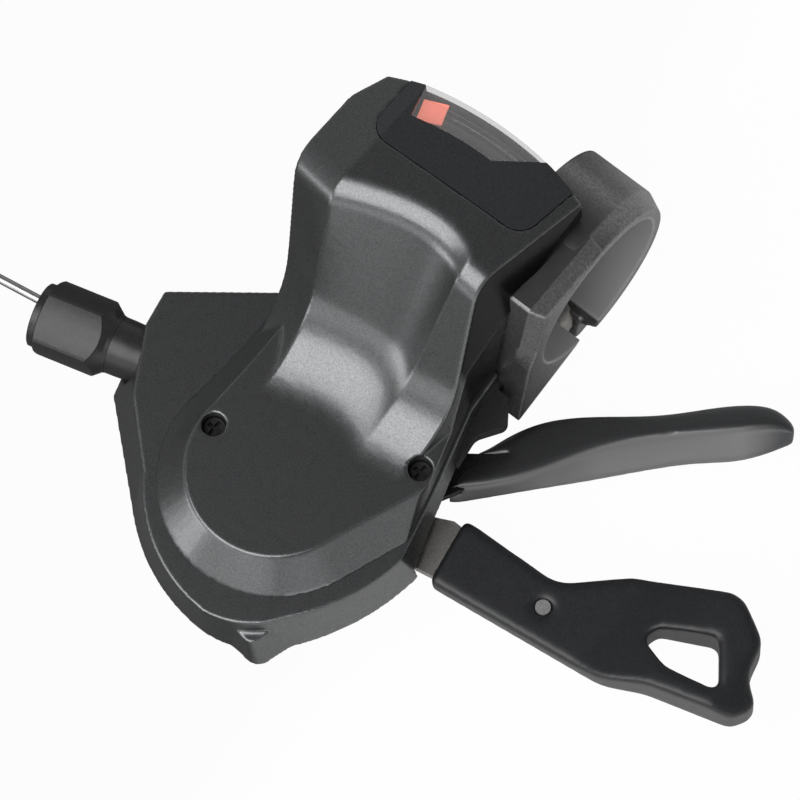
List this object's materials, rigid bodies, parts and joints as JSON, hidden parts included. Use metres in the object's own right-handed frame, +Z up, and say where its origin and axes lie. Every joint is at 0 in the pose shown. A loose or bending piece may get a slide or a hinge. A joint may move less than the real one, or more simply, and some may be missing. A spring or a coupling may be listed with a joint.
{
  "type": "bicycle gear shifter",
  "caption": "Flat-bar trigger gear shifter: painted pod and hood with a gear window, thumb and release levers, cable adjuster and a split alloy handlebar clamp.",
  "frame": {"origin": "centre of the handlebar bore, in the middle of the clamp's width", "axes": "+X along the handlebar towards its outer end on the lever side, +Y towards the rider, +Z up and square to the pod's flat top"},
  "size_m": [0.1187, 0.0778, 0.0442],
  "materials": {
    "body_paint": "metallic grey paint, satin",
    "lever_paint": "dark grey paint, fine texture",
    "release_plastic": "satin",
    "black_plastic": "satin",
    "black_steel": "black oxide",
    "gloss_black": "gloss",
    "clear_window": "clear, polished",
    "dial_grey": "satin",
    "marker_red": "satin",
    "clamp_alloy": "grey anodised, satin",
    "bolt_alloy": "anodised",
    "steel": "zinc plated",
    "spring_steel": "bright drawn",
    "cable_steel": "bright drawn",
    "drum_plastic": "natural"
  },
  "bodies": {
    "housing": {"upper_cover": "body_paint", "base_housing": "body_paint", "cover_screws": "black_steel", "display_bezel": "gloss_black", "display_lens": "clear_window", "dial_plate": "dial_grey", "lower_cover": "black_plastic", "base_plate": "steel", "main_axle": "steel", "axle_nut": "steel", "stop_pawl_pin": "steel", "release_post": "steel", "drum_spring": "spring_steel", "main_lever_spring": "spring_steel", "release_lever_spring": "spring_steel", "adjuster_sleeve": "black_plastic", "clamp_band": "clamp_alloy", "clamp_bolt": "steel", "clamp_bracket": "black_plastic", "bracket_screws": "steel"},
    "main_lever": {"main_lever_plate": "steel", "main_lever_pad": "lever_paint", "feed_pawl_pin": "steel"},
    "drum": {"wire_drum": "drum_plastic", "ratchet_plate": "steel", "cable_wrap": "cable_steel", "cable_nipple": "cable_steel"},
    "cable": {"inner_cable": "cable_steel", "cable_end_cap": "bolt_alloy"},
    "indicator": {"indicator_arm": "black_plastic", "indicator_flag": "marker_red"},
    "feed_pawl": {"feed_pawl": "steel"},
    "release_lever": {"release_lever_plate": "steel", "release_lever_pad": "release_plastic", "release_lever_rivet": "steel"},
    "stop_pawl": {"stop_pawl": "steel"},
    "adjuster_bolt": {"adjuster_bolt": "bolt_alloy"},
    "adjuster_knob": {"adjuster_knob": "black_plastic"}
  },
  "joints": [
    {"name": "main_lever_swing", "type": "hinge", "parent": "housing", "child": "main_lever", "pos_m": [-0.0116, -0.0435, -0.0164], "axis": [0, 0, -1], "range_deg": [0, 36], "stiffness_Nm_per_rad": 0.15},
    {"name": "drum_turn", "type": "hinge", "parent": "housing", "child": "drum", "pos_m": [-0.0116, -0.0435, -0.0082], "axis": [0, 0, -1], "range_deg": [0, 36.5]},
    {"name": "cable_pull", "type": "slide", "parent": "housing", "child": "cable", "axis": [0.9863, 0.165, 0], "range_m": [0, 0.00428]},
    {"name": "indicator_turn", "type": "hinge", "parent": "housing", "child": "indicator", "pos_m": [-0.0116, -0.0435, -0.0047], "axis": [0, 0, -1], "range_deg": [0, 14]},
    {"name": "feed_pawl_lift", "type": "hinge", "parent": "main_lever", "child": "feed_pawl", "pos_m": [-0.02165, -0.0377, -0.0139], "axis": [0, 0, 1], "range_deg": [0, 9], "stiffness_Nm_per_rad": 0.004},
    {"name": "release_lever_swing", "type": "hinge", "parent": "housing", "child": "release_lever", "pos_m": [0.0015, -0.039, -0.012], "axis": [0, 0, 1], "range_deg": [0, 14], "stiffness_Nm_per_rad": 0.12},
    {"name": "stop_pawl_lift", "type": "hinge", "parent": "housing", "child": "stop_pawl", "pos_m": [-0.00578, -0.05445, -0.0139], "axis": [0, 0, -1], "range_deg": [0, 10]},
    {"name": "adjuster_travel", "type": "slide", "parent": "housing", "child": "adjuster_bolt", "axis": [-0.9636, -0.2672, 0], "range_m": [0, 0.0016]},
    {"name": "adjuster_knob_turn", "type": "hinge", "parent": "adjuster_bolt", "child": "adjuster_knob", "pos_m": [-0.0385, -0.0415, -0.0082], "axis": [-0.9636, -0.2672, 0], "range_deg": [0, 720]}
  ],
  "couplings": [
    {"joint": "drum_turn", "follows": "main_lever_swing", "ratio": 1},
    {"joint": "cable_pull", "follows": "main_lever_swing", "m_per_rad": 0.006711},
    {"joint": "indicator_turn", "follows": "main_lever_swing", "ratio": 0.38},
    {"joint": "stop_pawl_lift", "follows": "release_lever_swing", "ratio": 0.7},
    {"joint": "adjuster_travel", "follows": "adjuster_knob_turn", "m_per_rad": 0.000127}
  ]
}
